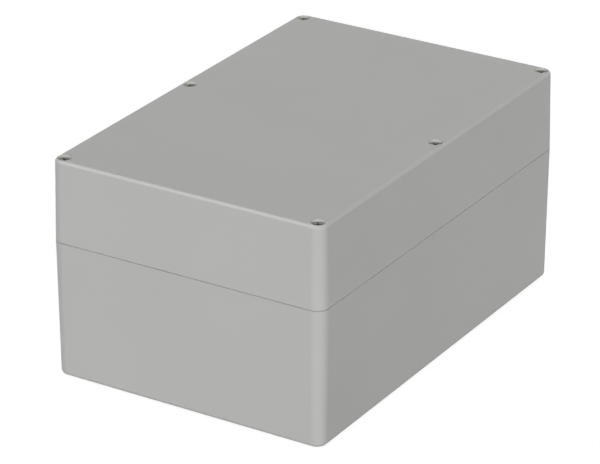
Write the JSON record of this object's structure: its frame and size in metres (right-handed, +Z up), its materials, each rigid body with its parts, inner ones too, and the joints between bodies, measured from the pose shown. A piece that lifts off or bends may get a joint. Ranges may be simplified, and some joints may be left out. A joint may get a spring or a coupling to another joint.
{
  "type": "plastic enclosure",
  "caption": "Deep rectangular screw-down plastic enclosure with a drafted base, a tall lid, a seal in the lid's groove and captive lid screws outside the seal.",
  "frame": {"origin": "centre of the base's underside, on the surface the enclosure stands on", "axes": "+X along the long side, +Y along the short side, +Z up from the base's underside to the lid's top"},
  "size_m": [0.24, 0.16, 0.12],
  "materials": {
    "housing": "fine satin moulded light grey",
    "seal": "dark matt foam rubber",
    "screw_steel": "turned steel, dull and darkened",
    "insert_brass": "turned brass"
  },
  "bodies": {
    "base": {"base": "housing", "threaded_inserts": "insert_brass"},
    "lid": {"lid": "housing", "gasket": "seal", "lid_screws": "screw_steel"}
  },
  "joints": [
    {"name": "lid_lift", "type": "slide", "parent": "base", "child": "lid", "axis": [0, 0, 1], "range_m": [0, 0.15]}
  ]
}
